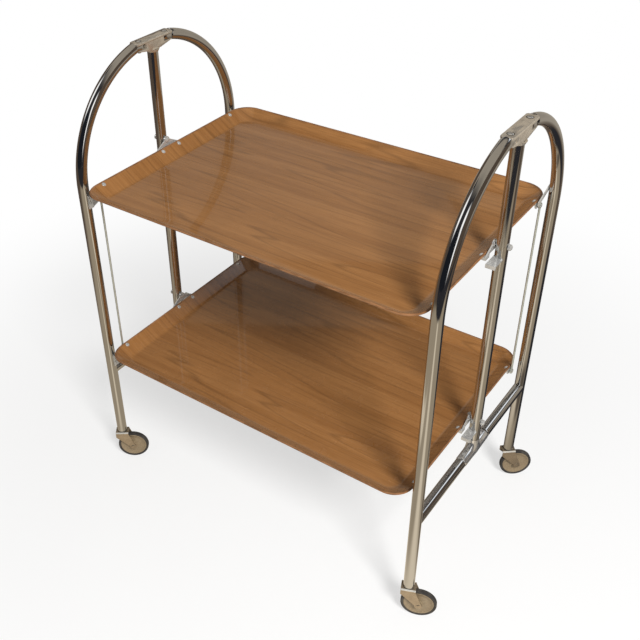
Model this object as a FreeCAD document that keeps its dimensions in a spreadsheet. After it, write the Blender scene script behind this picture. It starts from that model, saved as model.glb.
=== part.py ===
import FreeCAD, Part
import math
import os
import re
import Sketcher

# Folding tea trolley: two wood-grain trays that tilt together between two
# tubular end frames. Each end frame has a centre post and two hinged
# half-frames, and every leg stands on a swivel castor.
# Origin on the floor under the middle of the trolley, +X along the trays to
# the right end, +Y away from the viewer to the far side, +Z up. Sizes in mm.

SIZES = (
    ("tray_length", 596),
    ("tray_width", 418),
    ("tray_corner", 35),
    ("tray_sheet", 3),
    ("tray_bend", 10),
    ("rim_angle", 36),
    ("rim_depth", 17),
    ("upper_rim_height", 593),
    ("tray_spacing", 323),
    ("tube_diameter", 18),
    ("tube_wall", 1.2),
    ("frame_gap", 5.5),
    ("leg_inset", 21.5),
    ("arch_drop", 6.5),
    ("cross_drop", 53),
    ("foot_clearance", 8),
    ("hinge_offset", 30),
    ("hinge_pin", 6),
    ("lug_thickness", 8),
    ("lug_width", 15),
    ("casting_plate", 4.6),
    ("casting_reach", 12),
    ("casting_depth", 11),
    ("casting_width", 19),
    ("casting_round", 4),
    ("casting_corner", 3),
    ("spigot_length", 20),
    ("pivot_rise", 8),
    ("pivot_bolt", 6),
    ("bracket_sheet", 2),
    ("bracket_drop", 8),
    ("bracket_reach", 26),
    ("ear_radius", 6),
    ("foot_length", 14),
    ("foot_width", 12),
    ("rivet_diameter", 4),
    ("rivet_inset", 6),
    ("rod_diameter", 3.5),
    ("rod_inset", 44),
    ("rod_drop", 9.5),
    ("tab_width", 12),
    ("tab_offset", 3),
    ("rest_width", 10),
    ("rest_reach", 24),
    ("rest_leg", 24),
    ("rest_lean", 2.5),
    ("keeper_width", 6),
    ("keeper_reach", 36),
    ("keeper_slope", 20),
    ("catch_reach", 31),
    ("catch_drop", 10),
    ("catch_lip", 5),
    ("wheel_diameter", 58),
    ("wheel_width", 9),
    ("tyre_depth", 4.5),
    ("castor_trail", 18),
    ("fork_sheet", 2),
    ("fork_plate", 24),
    ("stem_diameter", 8),
    ("stem_head", 1.5),
    ("socket_length", 30),
    ("axle_diameter", 6),
    ("left_near_turn", 37),
    ("left_far_turn", 201),
    ("right_near_turn", 23),
    ("right_far_turn", 40),
    ("running_gap", 0.05),
    ("seat_gap", 0.2),
)

doc = FreeCAD.newDocument("Trolley")
sheet = doc.addObject("Spreadsheet::Sheet", "Sizes")
for row, (alias, number) in enumerate(SIZES, start=1):
    sheet.set(f"A{row}", str(number))
    sheet.setAlias(f"A{row}", alias)
doc.recompute()

ALIAS_WORD = re.compile(r"\b(" + "|".join(alias for alias, number in SIZES) + r")\b")
ENDS = (("left", -1), ("right", 1))
SIDES = (("near", -1), ("far", 1))
Y_AXIS = FreeCAD.Vector(0, 1, 0)
Z_AXIS = FreeCAD.Vector(0, 0, 1)

# Places that several pieces share, written in the driving dimensions.
TUBE_RADIUS = "(tube_diameter / 2)"
BORE_RADIUS = "(tube_diameter / 2 - tube_wall)"
FRAME_X = "(tray_length / 2 + frame_gap + tube_diameter / 2)"
TUBE_FACE = "(tray_length / 2 + frame_gap)"
LEG_Y = "(tray_width / 2 - leg_inset)"
ROD_Y = "(tray_width / 2 - rod_inset)"
TAB_Y = f"({ROD_Y} - tab_offset)"
UPPER = "(upper_rim_height)"
LOWER = "(upper_rim_height - tray_spacing)"
TRAYS = (("upper", UPPER), ("lower", LOWER))
ARCH_SPRING = f"({UPPER} - arch_drop)"
CROSS_HEIGHT = f"({LOWER} - cross_drop)"
LEG_FOOT = "(wheel_diameter + foot_clearance)"
ARM = f"({LEG_Y} - hinge_offset)"
TUBE_END = "(casting_reach + casting_corner)"
LUG_HEIGHT = f"({ARCH_SPRING} + sqrt({LEG_Y}^2 - (hinge_offset + {TUBE_END})^2))"
FOOT_Y = "(bracket_reach - foot_width / 2)"
RIM_SLOPE = "((rim_depth - tray_bend * (1 - cos(rim_angle))) / sin(rim_angle))"
RIM_RUN = f"((tray_bend + tray_sheet) * sin(rim_angle) + {RIM_SLOPE} * cos(rim_angle))"
EAR_FACE = f"({TUBE_FACE} - 2 * bracket_sheet)"
ROD_X = f"({TUBE_FACE} - 1 - rod_diameter / 2)"
WHEEL_RADIUS = "(wheel_diameter / 2)"
DISC_RADIUS = f"({WHEEL_RADIUS} - tyre_depth)"
FORK_TOP = f"({LEG_FOOT} - 0.3)"
FORK_GAP = "(wheel_width + 7)"

nodes = {}


def sized(text):
    """Write an expression with every size taken from the sheet."""
    return ALIAS_WORD.sub(r"Sizes.\1", str(text))


def value(text):
    return float(sheet.evalExpression(sized(text)))


def bind(item, prop, text):
    item.setExpression(prop, sized(text))


def place(item, x=0, y=0, z=0, axis=Z_AXIS, angle=0):
    """Put an item somewhere, turned about one axis."""
    item.Placement = FreeCAD.Placement(
        FreeCAD.Vector(value(x), value(y), value(z)), FreeCAD.Rotation(axis, value(angle))
    )
    for letter, text in (("x", x), ("y", y), ("z", z)):
        bind(item, f"Placement.Base.{letter}", text)
    if ALIAS_WORD.search(str(angle)):
        bind(item, "Placement.Rotation.Angle", angle)
    return item


def keep(item, name, solids=1):
    """Name a finished piece and note how many solids it should hold."""
    item.Label = name
    nodes[name] = (item, solids)
    return item


def new_body(name):
    return doc.addObject("PartDesign::Body", name)


def new_sketch(body, plane, offset="0"):
    """Open a sketch on one of the body's own planes, moved along its normal."""
    sketch = body.newObject("Sketcher::SketchObject", "Sketch")
    role = {feature.Role: feature for feature in body.Origin.OriginFeatures}
    sketch.AttachmentSupport = [(role[f"{plane}_Plane"], "")]
    sketch.MapMode = "FlatFace"
    bind(sketch, "AttachmentOffset.Base.z", offset)
    return sketch


def fix_point(sketch, edge, end, x, y):
    """Tie a point of the sketch to the sheet in both directions."""
    for kind, axis, text in (("DistanceX", -2, x), ("DistanceY", -1, y)):
        if str(text) == "0":
            sketch.addConstraint(Sketcher.Constraint("PointOnObject", edge, end, axis))
            continue
        index = sketch.addConstraint(Sketcher.Constraint(kind, -1, 1, edge, end, value(text)))
        bind(sketch, f"Constraints[{index}]", text)


def fix_radius(sketch, edge, text):
    index = sketch.addConstraint(Sketcher.Constraint("Radius", edge, value(text)))
    bind(sketch, f"Constraints[{index}]", text)


def circle(sketch, x, y, radius):
    centre = FreeCAD.Vector(value(x), value(y), 0)
    edge = sketch.addGeometry(Part.Circle(centre, Z_AXIS, value(radius)), False)
    fix_point(sketch, edge, 3, x, y)
    fix_radius(sketch, edge, radius)


def outline(sketch, points, arcs=None, closed=True):
    """Draw lines between points; arcs maps a point's index to the centre and radius after it."""
    arcs = arcs or {}
    spots = [FreeCAD.Vector(value(x), value(y), 0) for x, y in points]
    last = len(points) if closed else len(points) - 1
    ends = []
    for index in range(last):
        start = spots[index]
        stop = spots[(index + 1) % len(spots)]
        if index not in arcs:
            edge = sketch.addGeometry(Part.LineSegment(start, stop), False)
            ends.append((edge, 1, 2))
            continue
        (centre_x, centre_y), radius = arcs[index]
        centre = FreeCAD.Vector(value(centre_x), value(centre_y), 0)
        first = math.atan2(start.y - centre.y, start.x - centre.x)
        final = math.atan2(stop.y - centre.y, stop.x - centre.x)
        forward = (final - first) % (2 * math.pi) < math.pi
        low, high = (first, final) if forward else (final, first)
        ring = Part.Circle(centre, Z_AXIS, value(radius))
        edge = sketch.addGeometry(Part.ArcOfCircle(ring, low, high), False)
        ends.append((edge, 1, 2) if forward else (edge, 2, 1))
    for index, (edge, begin, end) in enumerate(ends):
        fix_point(sketch, edge, begin, *points[index])
        if index + 1 < len(ends):
            follower, start_end = ends[index + 1][:2]
            sketch.addConstraint(Sketcher.Constraint("Coincident", edge, end, follower, start_end))
        elif closed:
            sketch.addConstraint(Sketcher.Constraint("Coincident", edge, end, ends[0][0], ends[0][1]))
        else:
            fix_point(sketch, edge, end, *points[-1])
    for index, (centre, radius) in arcs.items():
        fix_radius(sketch, ends[index][0], radius)


def extrude(body, sketch, length, kind="Pad"):
    """Pad or pocket a sketch evenly to both sides of its plane."""
    feature = body.newObject(f"PartDesign::{kind}", kind)
    feature.Profile = sketch
    feature.SideType = "Symmetric"
    bind(feature, "Length", length)
    body.Tip = feature
    doc.recompute()
    return feature


def round_sides(body, pad, radius):
    """Round every edge of the two end faces of a pad."""
    ends = [face for face in enumerate(pad.Shape.Faces, start=1) if abs(face[1].normalAt(0, 0).x) > 0.9]
    feature = body.newObject("PartDesign::Fillet", "Fillet")
    feature.Base = (pad, [f"Face{number}" for number, face in ends])
    bind(feature, "Radius", radius)
    body.Tip = feature
    doc.recompute()
    return feature


def sweep(body, section, path):
    pipe = body.newObject("PartDesign::AdditivePipe", "Pipe")
    pipe.Profile = section
    pipe.Spine = path
    body.Tip = pipe
    doc.recompute()
    return pipe


def turned(name, points, arcs=None):
    """Revolve an outline of radius and axial place about the body's Y axis."""
    body = new_body(name)
    sketch = new_sketch(body, "XY")
    outline(sketch, points, arcs)
    feature = body.newObject("PartDesign::Revolution", "Revolution")
    feature.Profile = sketch
    feature.ReferenceAxis = (sketch, ["V_Axis"])
    feature.Angle = 360
    body.Tip = feature
    doc.recompute()
    return body


def cylinder(radius, length, x=0, y=0, z=0):
    item = doc.addObject("Part::Cylinder", "Cylinder")
    bind(item, "Radius", radius)
    bind(item, "Height", length)
    return place(item, x, y, z)


def dome(radius, height, z=0):
    """A cap of a ball standing on a flat round foot."""
    item = doc.addObject("Part::Sphere", "Dome")
    ball = f"(({radius})^2 + ({height})^2) / (2 * ({height}))"
    bind(item, "Radius", ball)
    bind(item, "Angle1", f"asin(1 - ({height}) / ({ball}))")
    item.Angle2 = 90
    return place(item, z=f"{z} + {height} - {ball}")


def fuse(*items):
    joined = doc.addObject("Part::MultiFuse", "Fuse")
    joined.Shapes = list(items)
    return joined


def cut(base, tool):
    item = doc.addObject("Part::Cut", "Cut")
    item.Base = base
    item.Tool = tool
    return item


def group(items, name="Group"):
    item = doc.addObject("Part::Compound", name)
    item.Links = list(items)
    return item


def rivet(radius, shank, head_radius, head_height):
    """A round shank below its seat with a low domed head above it."""
    overlap = 0.5
    body = cylinder(radius, f"{shank} + {overlap}", z=f"-({shank})")
    return fuse(body, dome(head_radius, head_height))


def tube_ring(sketch, x, y, outer=TUBE_RADIUS, inner=BORE_RADIUS):
    circle(sketch, x, y, outer)
    circle(sketch, x, y, inner)


def tray(name, rim_top):
    """A floor sheet with a sloping rim bent up all round it."""
    half_x = f"(tray_length / 2 - {RIM_RUN})"
    half_y = f"(tray_width / 2 - {RIM_RUN})"
    corner = f"(tray_corner - {RIM_RUN})"
    bottom = f"({rim_top} - rim_depth - tray_sheet)"
    straight_x = f"({half_x} - {corner})"
    straight_y = f"({half_y} - {corner})"
    body = new_body(f"{name}_blank")
    floor = new_sketch(body, "XY", bottom)
    points = (
        (half_x, "0"), (half_x, straight_y), (straight_x, half_y),
        (f"-{straight_x}", half_y), (f"-{half_x}", straight_y),
        (f"-{half_x}", f"-{straight_y}"), (f"-{straight_x}", f"-{half_y}"),
        (straight_x, f"-{half_y}"), (half_x, f"-{straight_y}"),
    )
    arcs = {
        1: ((straight_x, straight_y), corner),
        3: ((f"-{straight_x}", straight_y), corner),
        5: ((f"-{straight_x}", f"-{straight_y}"), corner),
        7: ((straight_x, f"-{straight_y}"), corner),
    }
    outline(floor, points, arcs)
    sheet_pad = extrude(body, floor, "tray_sheet")
    sheet_pad.SideType = "One side"
    rim = new_sketch(body, "XZ")
    bend_centre = (half_x, f"({bottom} + tray_sheet + tray_bend)")
    outer_bend = "(tray_bend + tray_sheet)"
    profile = (
        (half_x, bottom),
        (f"{half_x} + {outer_bend} * sin(rim_angle)", f"{bottom} + {outer_bend} * (1 - cos(rim_angle))"),
        ("tray_length / 2", f"{rim_top} - tray_sheet * cos(rim_angle)"),
        ("tray_length / 2 - tray_sheet * sin(rim_angle)", rim_top),
        (f"{half_x} + tray_bend * sin(rim_angle)",
         f"{bottom} + tray_sheet + tray_bend * (1 - cos(rim_angle))"),
        (half_x, f"{bottom} + tray_sheet"),
    )
    outline(rim, profile, {0: (bend_centre, outer_bend), 4: (bend_centre, "tray_bend")})
    sweep(body, rim, floor)
    return body


def under_rim(rim_top, along, below=0):
    """A point under the sloping rim, measured inward from its edge and down from its underside."""
    x = f"(tray_length / 2 - ({along}) * cos(rim_angle) + ({below}) * sin(rim_angle))"
    z = f"({rim_top} - tray_sheet * cos(rim_angle) - ({along}) * sin(rim_angle) - ({below}) * cos(rim_angle))"
    return x, z


def flange(body, rim_top, end, middle, width, web):
    """The sloping foot that lies under the rim, with a web out to the ear face at web."""
    web_top = f"({rim_top} - 5)"
    web_foot = f"({rim_top} - 8)"
    edge = under_rim(rim_top, 0)
    low_edge = under_rim(rim_top, 0, "bracket_sheet")
    points = [
        edge, under_rim(rim_top, "foot_length"), under_rim(rim_top, "foot_length", "bracket_sheet"),
        (f"({low_edge[0]} - ({low_edge[1]} - {web_foot}) / tan(rim_angle))", web_foot),
        (web, web_foot), (web, web_top),
    ]
    sketch = new_sketch(body, "XZ", f"-({middle})")
    outline(sketch, [(f"{end} * {x}", z) for x, z in points])
    extrude(body, sketch, width)


def pivot_bracket(name, rim_top, end):
    """An arched strap: an ear on the pivot bolt and two feet riveted under the rim."""
    pivot = f"({rim_top} + pivot_rise)"
    foot = f"({rim_top} - bracket_drop)"
    shoulder = f"({rim_top} - bracket_drop + 5)"
    arch = f"({rim_top} - 2)"
    inner = "(bracket_reach - foot_width)"
    body = new_body(f"{name}_blank")
    ear = new_sketch(body, "YZ", f"{end} * ({EAR_FACE} + bracket_sheet / 2)")
    points = (
        ("ear_radius", pivot), ("0", f"{pivot} + ear_radius"), ("-ear_radius", pivot),
        ("-bracket_reach", shoulder), ("-bracket_reach", foot), (f"-{inner}", foot), (f"-{inner}", arch),
        (inner, arch), (inner, foot), ("bracket_reach", foot), ("bracket_reach", shoulder),
    )
    centre = ("0", pivot)
    outline(ear, points, {0: (centre, "ear_radius"), 1: (centre, "ear_radius")})
    extrude(body, ear, "bracket_sheet")
    for side_word, side in SIDES:
        flange(body, rim_top, end, f"{side} * {FOOT_Y}", "foot_width", f"({EAR_FACE} + bracket_sheet / 2)")
    bore = new_sketch(body, "YZ", f"{end} * {EAR_FACE}")
    circle(bore, "0", pivot, "pivot_bolt / 2 + running_gap")
    extrude(body, bore, "4 * bracket_sheet", "Pocket")
    return body


def corner_tab(name, rim_top, end, side, with_stud):
    """A riveted tab under a rim corner; two of the four carry the stud of a link rod."""
    body = new_body(f"{name}_blank")
    face = "(tray_length / 2 - 1.4)"
    eye = f"({rim_top} - rod_drop)"
    flange(body, rim_top, end, f"{side} * {TAB_Y}", "tab_width", face)
    ear = new_sketch(body, "YZ", f"{end} * {face}")
    inner = f"{side} * ({TAB_Y} - tab_width / 2)"
    outer = f"{side} * ({ROD_Y} + 6)"
    outline(ear, (
        (inner, f"{rim_top} - 5"), (outer, f"{rim_top} - 5"),
        (outer, f"{eye} - 5"), (f"{side} * ({ROD_Y} - 5)", f"{eye} - 5"), (inner, f"{rim_top} - 11"),
    ))
    extrude(body, ear, "bracket_sheet")
    if with_stud:
        stud_tip = f"({ROD_X} + rod_diameter / 2)"
        stud = new_sketch(body, "YZ", f"{end} * ({face} + {stud_tip}) / 2")
        circle(stud, f"{side} * {ROD_Y}", eye, "rod_diameter / 2")
        extrude(body, stud, f"{stud_tip} - {face}")
        head = new_sketch(body, "YZ", f"{end} * ({stud_tip} + 0.35)")
        circle(head, f"{side} * {ROD_Y}", eye, "rod_diameter / 2 + 1.3")
        extrude(body, head, "0.7")
    return body


def rim_rivets(name, rim_top):
    """Rivets square to the short rims, and the drills that clear their holes."""
    seat_x = "(tray_length / 2 - tray_sheet * sin(rim_angle) - rivet_inset * cos(rim_angle))"
    seat_z = f"({rim_top} - rivet_inset * sin(rim_angle))"
    shank = "(tray_sheet + bracket_sheet + 1)"
    rivets = []
    drills = []
    for word, end in ENDS:
        for y in (f"-{FOOT_Y}", FOOT_Y, f"-{TAB_Y}", TAB_Y):
            item = rivet("rivet_diameter / 2", shank, "rivet_diameter * 0.9", "rivet_diameter * 0.4")
            place(item, f"{end} * {seat_x}", y, seat_z, Y_AXIS, f"{-end} * rim_angle")
            rivets.append(item)
            core = cylinder("rivet_diameter / 2 + 0.02", f"{shank} + 4", z=f"-({shank}) - 2")
            drill = fuse(core, cylinder("rivet_diameter / 2 + 0.02", 1))
            place(drill, f"{end} * {seat_x}", y, seat_z, Y_AXIS, f"{-end} * rim_angle")
            drills.append(drill)
    keep(group(rivets), f"{name}_tray_rivets", len(rivets))
    return drills


def tray_set(name, rim_top):
    """One tray with its pivot brackets, corner tabs and rivets."""
    drills = rim_rivets(name, rim_top)
    keep(cut(tray(f"{name}_tray", rim_top), group(drills)), f"{name}_tray")
    tabs = []
    for index, (word, end) in enumerate(ENDS):
        own = drills[4 * index:4 * index + 4]
        bracket = pivot_bracket(f"{name}_{word}_pivot_bracket", rim_top, end)
        keep(cut(bracket, group(own[:2])), f"{name}_{word}_pivot_bracket")
        for drill, (side_word, side) in zip(own[2:], SIDES):
            tab = corner_tab(f"{name}_{word}_{side_word}_tab", rim_top, end, side, end == side)
            tabs.append(cut(tab, drill))
    keep(group(tabs), f"{name}_corner_tabs", len(tabs))


def hinge_lug(body, height):
    """A flat lug round the hinge pin, let into the end of the tube."""
    half = "(lug_width / 2)"
    reach = f"({TUBE_END} + 5)"
    lug = new_sketch(body, "XY", height)
    points = (
        (half, reach), (f"-{half}", reach), (f"-{half}", "0"), ("0", f"-{half}"), (half, "0"),
    )
    centre = ("0", "0")
    outline(lug, points, {2: (centre, half), 3: (centre, half)})
    extrude(body, lug, "lug_thickness")
    hole = new_sketch(body, "XY", height)
    circle(hole, "0", "0", "hinge_pin / 2 + 0.02")
    extrude(body, hole, "3 * tube_diameter", "Pocket")


def set_half(body, end, side):
    """Stand a half-frame piece on its hinge line; the near side is turned half round."""
    place(body, f"{end} * {FRAME_X}", f"{side} * hinge_offset", "0", Z_AXIS, 90 - 90 * side)


def leg_tube(name, end, side):
    """A leg bent over at the top into a quarter of the arch."""
    body = new_body(name)
    ring = new_sketch(body, "XY", LEG_FOOT)
    tube_ring(ring, "0", ARM)
    path = new_sketch(body, "YZ")
    points = ((ARM, LEG_FOOT), (ARM, ARCH_SPRING), (TUBE_END, LUG_HEIGHT))
    outline(path, points, {1: (("-hinge_offset", ARCH_SPRING), LEG_Y)}, closed=False)
    sweep(body, ring, path)
    hinge_lug(body, LUG_HEIGHT)
    set_half(body, end, side)
    keep(body, name)


def cross_tube(name, end, side):
    """The half cross tube of a half-frame, coped round the leg."""
    body = new_body(name)
    ring = new_sketch(body, "XZ", f"-({TUBE_END} + {ARM}) / 2")
    tube_ring(ring, "0", CROSS_HEIGHT)
    extrude(body, ring, f"{ARM} - {TUBE_END}")
    cope = new_sketch(body, "XY", CROSS_HEIGHT)
    circle(cope, "0", ARM, f"{TUBE_RADIUS} + running_gap")
    extrude(body, cope, "3 * tube_diameter", "Pocket")
    hinge_lug(body, CROSS_HEIGHT)
    set_half(body, end, side)
    keep(body, name)


def hinge_casting(name, end, height, flip):
    """The casting on an end of the post that holds the hinge pins of both half-frames."""
    reach = "(hinge_offset + casting_reach)"
    slot = "(lug_thickness / 2 + seat_gap)"
    top = f"({slot} + casting_plate)"
    under = f"-({slot} + casting_plate - 1)"
    foot = f"({TUBE_RADIUS} + casting_corner)"
    body = new_body(name)
    side_view = new_sketch(body, "YZ")
    inner = f"({reach} - casting_corner)"
    outline(side_view, (
        (f"-{inner}", top), (inner, top), (reach, f"{top} - casting_corner"), (inner, under),
        (foot, "-casting_depth"), (f"-{foot}", "-casting_depth"), (f"-{inner}", under),
        (f"-{reach}", f"{top} - casting_corner"),
    ))
    round_sides(body, extrude(body, side_view, "casting_width"), "casting_round")
    root = "(hinge_offset - lug_width / 2 - 2)"
    for sign in (-1, 1):
        mouth = new_sketch(body, "YZ")
        outline(mouth, (
            (f"{sign} * {root}", slot), (f"{sign} * ({reach} + 2)", slot),
            (f"{sign} * ({reach} + 2)", f"-{slot}"), (f"{sign} * {root}", f"-{slot}"),
        ))
        extrude(body, mouth, "2 * casting_width", "Pocket")
    pins = new_sketch(body, "XY")
    circle(pins, "0", "hinge_offset", "hinge_pin / 2 + 0.02")
    circle(pins, "0", "-hinge_offset", "hinge_pin / 2 + 0.02")
    extrude(body, pins, "4 * casting_depth", "Pocket")
    spigot = new_sketch(body, "XY", "-casting_depth - spigot_length / 2 + 1")
    circle(spigot, "0", "0", f"{BORE_RADIUS} - running_gap")
    extrude(body, spigot, "spigot_length")
    place(body, f"{end} * {FRAME_X}", "0", height, FreeCAD.Vector(1, 0, 0), 180 if flip else 0)
    keep(body, name)


def post(name, end):
    """The centre post between the two castings, drilled for the tray pivot bolts."""
    low = f"({CROSS_HEIGHT} + casting_depth)"
    high = f"({LUG_HEIGHT} - casting_depth)"
    body = new_body(name)
    ring = new_sketch(body, "XY", f"({low} + {high}) / 2")
    tube_ring(ring, "0", "0")
    extrude(body, ring, f"{high} - {low}")
    for tray_word, rim_top in TRAYS:
        hole = new_sketch(body, "YZ")
        circle(hole, "0", f"{rim_top} + pivot_rise", "pivot_bolt / 2 + 0.02")
        extrude(body, hole, "3 * tube_diameter", "Pocket")
    place(body, f"{end} * {FRAME_X}")
    keep(body, name)


def hinge_pins(name, height, flip):
    """Four headed pins, two for each end frame."""
    seat = "(lug_thickness / 2 + seat_gap + casting_plate)"
    pins = []
    for word, end in ENDS:
        for side_word, side in SIDES:
            item = rivet("hinge_pin / 2", f"2 * {seat} + 1", "hinge_pin * 0.7", "hinge_pin * 0.2")
            lift = f"{height} - {seat}" if flip else f"{height} + {seat}"
            turn = 180 if flip else 0
            pins.append(place(item, f"{end} * {FRAME_X}", f"{side} * hinge_offset", lift, Y_AXIS, turn))
    keep(group(pins), name, len(pins))


def pivot_fixings():
    """Bolts, washers and domed nuts that carry the trays on the posts."""
    bolts = []
    washers = []
    nuts = []
    head_seat = f"({EAR_FACE} - seat_gap)"
    outer_face = f"({FRAME_X} + {TUBE_RADIUS})"
    for tray_word, rim_top in TRAYS:
        pivot = f"{rim_top} + pivot_rise"
        for word, end in ENDS:
            bolt = rivet("pivot_bolt / 2", f"{outer_face} + 3 - {head_seat}", "pivot_bolt * 0.8", 2)
            bolts.append(place(bolt, f"{end} * {head_seat}", "0", pivot, Y_AXIS, -90 * end))
            thickness = f"({TUBE_FACE} - {EAR_FACE} - bracket_sheet - 2 * seat_gap)"
            bore = cylinder("pivot_bolt / 2 + running_gap", f"{thickness} + 2", z="-1")
            washer = cut(cylinder("pivot_bolt * 0.9", thickness), bore)
            seat = f"{end} * ({EAR_FACE} + bracket_sheet + seat_gap)"
            washers.append(place(washer, seat, "0", pivot, Y_AXIS, 90 * end))
            shell = fuse(cylinder("pivot_bolt * 0.75", 3.2), dome("pivot_bolt * 0.75", 2.5, z=3))
            nut = cut(shell, cylinder("pivot_bolt / 2 + 0.02", 4.5, z="-1"))
            nuts.append(place(nut, f"{end} * ({outer_face} + 0.05)", "0", pivot, Y_AXIS, 90 * end))
    keep(group(bolts), "tray_pivot_bolts", len(bolts))
    keep(group(washers), "tray_pivot_washers", len(washers))
    keep(group(nuts), "tray_pivot_nuts", len(nuts))


def tray_rests():
    """Folded rests with a web, on the near left leg under a corner of each tray."""
    back = f"({TUBE_FACE} - 0.05)"
    front = f"({back} - bracket_sheet)"
    tip = f"({TUBE_FACE} - rest_reach)"
    middle_y = f"({LEG_Y} - rest_lean)"
    corner_x = "(tray_length / 2 - tray_corner)"
    corner_y = "(tray_width / 2 - tray_corner)"
    reach = f"sqrt(({tip} - {corner_x})^2 + ({middle_y} - rest_width / 2 - {corner_y})^2)"
    drop = f"(tray_sheet * cos(rim_angle) + (tray_corner - {reach}) * tan(rim_angle) + seat_gap)"
    rests = []
    for tray_word, rim_top in TRAYS:
        top = f"({rim_top} - {drop})"
        low = f"({top} - bracket_sheet)"
        foot = f"({top} - rest_leg)"
        body = new_body(f"{tray_word}_rest")
        fold = ((back, top), (tip, top), (tip, low), (front, low), (front, foot), (back, foot))
        web = ((back, top), (tip, top), (tip, low), (front, foot), (back, foot))
        for points, width in ((fold, "rest_width"), (web, "bracket_sheet")):
            sketch = new_sketch(body, "XZ", middle_y)
            outline(sketch, [(f"-{x}", z) for x, z in points])
            extrude(body, sketch, width)
        rests.append(body)
    keep(group(rests), "tray_rests", len(rests))


def corner_keeper():
    """A sloping strip on the far right leg that runs along the edge of the upper tray."""
    body = new_body("corner_keeper")
    start = f"({LEG_Y} + rest_lean)"
    finish = f"({LEG_Y} - keeper_reach)"
    low = f"({UPPER} - 4)"
    high = f"({low} + ({start} - {finish}) * tan(keeper_slope))"
    sketch = new_sketch(body, "YZ", f"{TUBE_FACE} - 0.05 - bracket_sheet / 2")
    outline(sketch, (
        (start, high), (start, f"{high} + keeper_width"), (finish, f"{low} + keeper_width"), (finish, low),
    ))
    extrude(body, sketch, "bracket_sheet")
    keep(body, "corner_keeper")


def post_catches():
    """Plates with a folded lip, set on the posts just below the tray pivots."""
    near_face = f"({TUBE_FACE} + seat_gap)"
    far_face = f"({FRAME_X} + {TUBE_RADIUS} - casting_corner)"
    catches = []
    for tray_word, rim_top in TRAYS:
        height = f"({rim_top} - catch_drop)"
        for word, end in ENDS:
            body = new_body(f"{word}_{tray_word}_catch")
            reach = f"{-end} * catch_reach"
            plate = new_sketch(body, "XY", height)
            outline(plate, (
                (f"{end} * {near_face}", "0"), (f"{end} * {far_face}", "0"),
                (f"{end} * {far_face}", reach), (f"{end} * {near_face}", reach),
            ))
            extrude(body, plate, "bracket_sheet")
            lip = new_sketch(body, "XZ", f"{end} * (catch_reach - bracket_sheet / 2)")
            outline(lip, (
                (f"{end} * {near_face}", height), (f"{end} * {far_face}", height),
                (f"{end} * {far_face}", f"{height} - catch_lip"), (f"{end} * {near_face}", f"{height} - catch_lip"),
            ))
            extrude(body, lip, "bracket_sheet")
            cope = new_sketch(body, "XY", height)
            circle(cope, f"{end} * {FRAME_X}", "0", f"{TUBE_RADIUS} + running_gap")
            extrude(body, cope, "tube_diameter", "Pocket")
            catches.append(body)
    keep(group(catches), "post_catches", len(catches))


def link_rod(name, end, side):
    """A wire rod with an eye at each end that keeps the two trays level with each other."""
    body = new_body(name)
    low = f"({LOWER} - rod_drop)"
    high = f"({UPPER} - rod_drop)"
    x = f"{end} * {ROD_X}"
    y = f"{side} * {ROD_Y}"
    wire = new_sketch(body, "XY", f"({low} + {high}) / 2")
    circle(wire, x, y, "rod_diameter / 2")
    extrude(body, wire, f"{high} - {low}")
    for height in (low, high):
        eye = new_sketch(body, "YZ", x)
        circle(eye, y, height, "rod_diameter / 2 + 2.8")
        extrude(body, eye, "rod_diameter - 0.4")
    for height, gap in ((low, "seat_gap"), (high, "running_gap")):
        hole = new_sketch(body, "YZ", x)
        circle(hole, y, height, f"rod_diameter / 2 + {gap}")
        extrude(body, hole, "3 * rod_diameter", "Pocket")
    keep(body, name)


def fork(name):
    """A folded fork: a top plate and two cheeks that taper back to the axle."""
    body = new_body(name)
    half = "(fork_plate / 2)"
    eye = "(axle_diameter / 2 + 3)"
    side_view = new_sketch(body, "XZ")
    points = (
        (f"-{half}", FORK_TOP), (half, FORK_TOP), (f"castor_trail + {eye}", WHEEL_RADIUS),
        ("castor_trail", f"{WHEEL_RADIUS} - {eye}"), (f"castor_trail - {eye}", WHEEL_RADIUS),
        (f"-{half}", f"{FORK_TOP} - 12"),
    )
    centre = ("castor_trail", WHEEL_RADIUS)
    outline(side_view, points, {2: (centre, eye), 3: (centre, eye)})
    extrude(body, side_view, f"{FORK_GAP} + 2 * fork_sheet")
    inside = new_sketch(body, "XZ")
    ceiling = f"({FORK_TOP} - fork_sheet)"
    outline(inside, (
        (f"-{half} - 5", ceiling), (f"castor_trail + {half} + 9", ceiling),
        (f"castor_trail + {half} + 9", "0"), (f"-{half} - 5", "0"),
    ))
    extrude(body, inside, FORK_GAP, "Pocket")
    stem_hole = new_sketch(body, "XY", FORK_TOP)
    circle(stem_hole, "0", "0", "stem_diameter / 2 + 0.02")
    extrude(body, stem_hole, "4 * fork_sheet", "Pocket")
    axle_hole = new_sketch(body, "XZ")
    circle(axle_hole, "castor_trail", WHEEL_RADIUS, "axle_diameter / 2 + 0.02")
    extrude(body, axle_hole, "4 * wheel_width", "Pocket")
    return body


def castor_wheel(name):
    """A stepped disc on a plain hub."""
    bore = "(axle_diameter / 2 + running_gap)"
    hub = "(axle_diameter / 2 + 5)"
    rim = DISC_RADIUS
    faces = (
        (bore, f"{FORK_GAP} / 2 - 0.3"), (hub, f"{FORK_GAP} / 2 - 0.3"), (hub, "wheel_width / 2 - 1.5"),
        (f"{rim} - 8", "wheel_width / 2 - 3"), (f"{rim} - 5", "wheel_width / 2 - 0.8"),
        (rim, "wheel_width / 2 - 0.8"),
    )
    return turned(name, list(faces) + [(radius, f"-({axial})") for radius, axial in reversed(faces)])


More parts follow.
